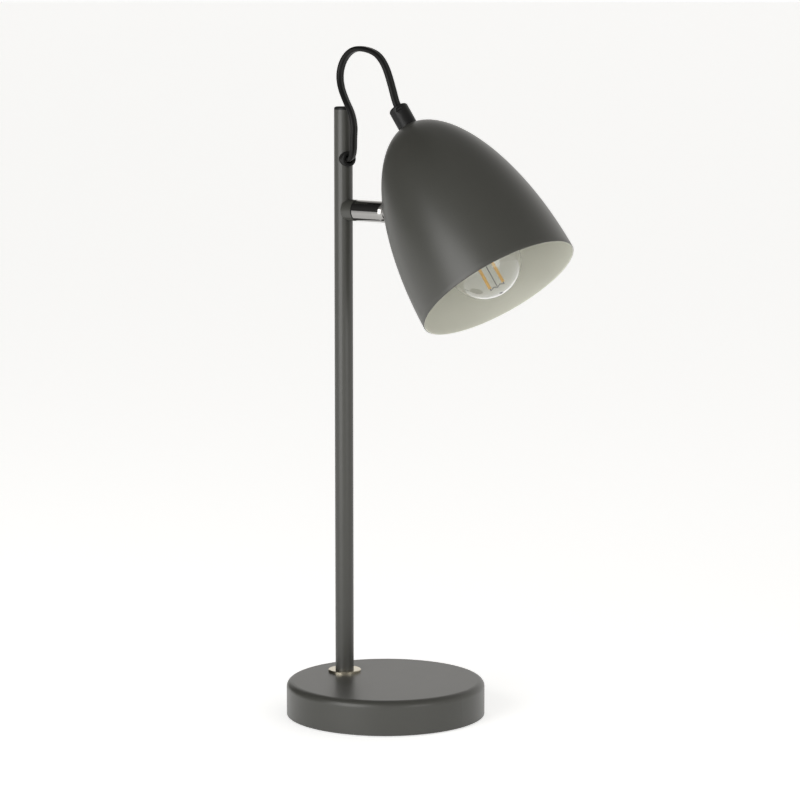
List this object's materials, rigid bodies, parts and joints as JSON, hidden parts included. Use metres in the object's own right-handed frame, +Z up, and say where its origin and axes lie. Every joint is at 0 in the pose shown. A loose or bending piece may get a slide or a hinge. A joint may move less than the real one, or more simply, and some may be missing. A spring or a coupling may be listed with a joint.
{
  "type": "task lamp",
  "caption": "Desk lamp with a weighted round base, fixed stem and a bell shade on a swivelling, tilting ball knuckle.",
  "frame": {"origin": "centre of the base's underside, on the surface it stands on", "axes": "+Z up, +X forward along the arm towards the shade, stem on the -X side, +Y to the left seen from behind"},
  "size_m": [0.2347, 0.15, 0.5031],
  "materials": {
    "grey_paint": "satin",
    "cast_iron": "rough",
    "zinc_steel": "satin",
    "pad_rubber": "matt",
    "black_rubber": "matt",
    "nickel": "polished",
    "brass": "machined",
    "black_plastic": "satin",
    "chrome": "polished",
    "holder_plastic": "satin",
    "porcelain": "glazed",
    "clear_glass": "clear",
    "bulb_metal": "satin",
    "black_glass": "gloss",
    "filament": "matt",
    "wire": "satin",
    "flex_sheath": "satin",
    "cable_sheath": "matt"
  },
  "bodies": {
    "stand": {"base_cover": "grey_paint", "base_weight": "cast_iron", "base_plate": "zinc_steel", "base_pad": "pad_rubber", "base_screw_1": "zinc_steel", "base_screw_2": "zinc_steel", "base_screw_3": "zinc_steel", "cord_gland": "black_rubber", "stem_collar": "nickel", "stem_tube": "grey_paint", "stem_insert": "brass", "stem_washer": "zinc_steel", "stem_nut": "brass", "stem_cap": "black_plastic", "stem_grommet": "black_rubber", "arm_boss": "grey_paint", "pivot_screw": "zinc_steel", "stem_cable": "cable_sheath", "flex_lower": "flex_sheath"},
    "knuckle": {"friction_washer": "black_plastic", "knuckle_barrel": "chrome", "wave_washer": "zinc_steel", "knuckle_cap": "chrome", "ball_seat": "black_plastic", "ball_spring": "zinc_steel"},
    "head": {"ball_stud": "chrome", "stud_seat": "chrome", "stud_plate": "zinc_steel", "stud_nut": "zinc_steel", "shade": "grey_paint", "cord_grip": "black_plastic", "grip_screw": "black_plastic", "crown_tube": "brass", "crown_washer": "zinc_steel", "crown_nut": "zinc_steel", "holder_cap": "holder_plastic", "holder_skirt": "holder_plastic", "holder_insert": "porcelain", "screw_shell": "brass", "centre_contact": "brass", "bulb_glass": "clear_glass", "bulb_cap": "bulb_metal", "bulb_insulator": "black_glass", "bulb_contact": "bulb_metal", "bulb_mount": "clear_glass", "filament_1": "filament", "filament_2": "filament", "lead_wire_1": "wire", "lead_wire_2": "wire", "bridge_wire": "wire", "anchor_wire": "wire", "flex_upper": "flex_sheath", "head_cable": "cable_sheath"}
  },
  "joints": [
    {"name": "head_swivel", "type": "hinge", "parent": "stand", "child": "knuckle", "pos_m": [-0.0416, 0, 0.3806], "axis": [1, 0, 0], "range_deg": [-30, 30], "deforming": ["flex_lower", "flex_upper"]},
    {"name": "head_tilt", "type": "hinge", "parent": "knuckle", "child": "head", "pos_m": [-0.0025, 0, 0.3806], "axis": [0, -1, 0], "range_deg": [-40, 12], "deforming": ["flex_upper", "flex_lower"]}
  ]
}
